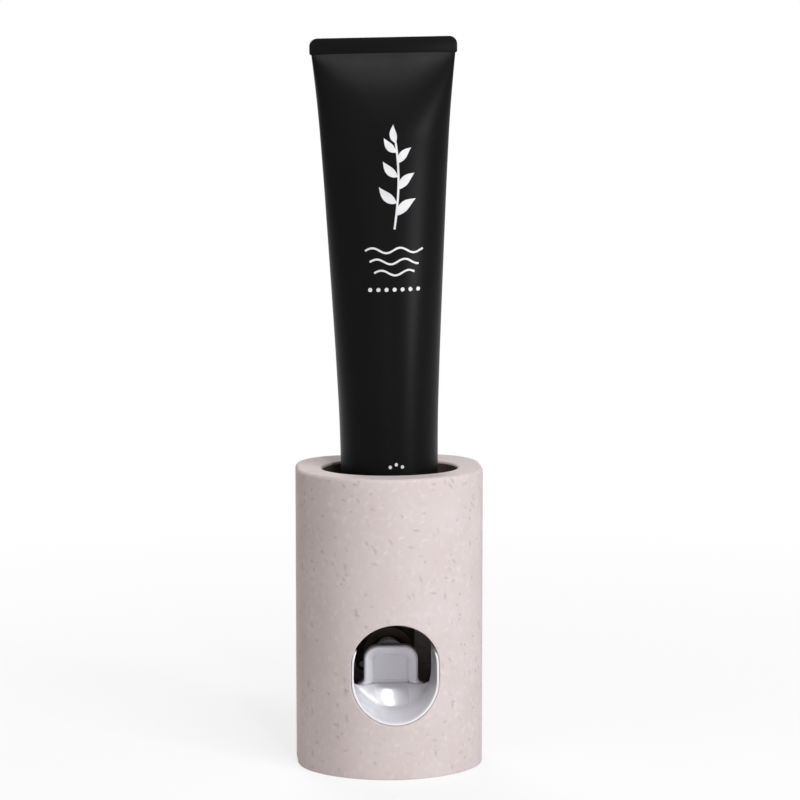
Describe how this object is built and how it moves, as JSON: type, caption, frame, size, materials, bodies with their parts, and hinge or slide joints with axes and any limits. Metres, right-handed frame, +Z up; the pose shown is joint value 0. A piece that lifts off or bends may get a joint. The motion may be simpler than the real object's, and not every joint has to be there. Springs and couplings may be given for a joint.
{
  "type": "toothpaste dispenser",
  "caption": "Upright push-type toothpaste dispenser: oval housing with a brush opening and push lever in front, a piston pump inside, a tube standing in its open top and a slide-on wall plate.",
  "frame": {"origin": "bottom centre of the bounding box, on the surface that the dispenser stands on", "axes": "+X to the right, +Y to the back (the wall side), +Z up; the brush opening and the lever face -Y"},
  "size_m": [0.068, 0.062, 0.2664],
  "materials": {
    "shell_plastic": "matt beige moulding with fine fibre flecks",
    "cover_plastic": "matt beige moulding",
    "white_plastic": "polished white",
    "dark_plastic": "matt dark brown",
    "steel": "plain stainless",
    "silicone": "soft satin grey",
    "foam_pad": "matt foam tape",
    "tube_black": "satin black laminate"
  },
  "bodies": {
    "housing": {"outer_shell": "shell_plastic", "front_bezel": "white_plastic", "lever_pin": "steel", "pump_body": "dark_plastic", "rear_cap": "dark_plastic", "cap_gasket": "silicone", "cap_screws": "steel", "return_spring": "steel", "valve_seat": "white_plastic", "inlet_valve": "silicone", "inlet_seal": "silicone", "seal_ring": "white_plastic", "outlet_nozzle": "white_plastic", "outlet_valve": "silicone", "pump_screws": "steel", "base_cover": "cover_plastic", "base_screws": "steel"},
    "lever": {"push_lever": "white_plastic"},
    "piston": {"piston": "white_plastic", "piston_seal": "silicone", "piston_rod": "white_plastic"},
    "bracket": {"wall_bracket": "white_plastic", "adhesive_pad": "foam_pad"},
    "tube": {"tube_shoulder": "tube_black", "tube_sleeve": "tube_black"}
  },
  "joints": [
    {"name": "lever_hinge", "type": "hinge", "parent": "housing", "child": "lever", "pos_m": [0, -0.0042, 0.0265], "axis": [-1, 0, 0], "range_deg": [0, 24], "stiffness_Nm_per_rad": 0.08, "springref_deg": -20.05},
    {"name": "piston_slide", "type": "slide", "parent": "housing", "child": "piston", "axis": [0, 1, 0], "range_m": [0, 0.0063], "deforming": ["return_spring"]},
    {"name": "tube_lift", "type": "slide", "parent": "housing", "child": "tube", "axis": [0, 0, 1], "range_m": [0, 0.06]},
    {"name": "bracket_slide", "type": "slide", "parent": "housing", "child": "bracket", "axis": [0, 0, -1], "range_m": [0, 0.0165]}
  ],
  "couplings": [
    {"joint": "piston_slide", "follows": "lever_hinge", "m_per_rad": 0.015}
  ]
}
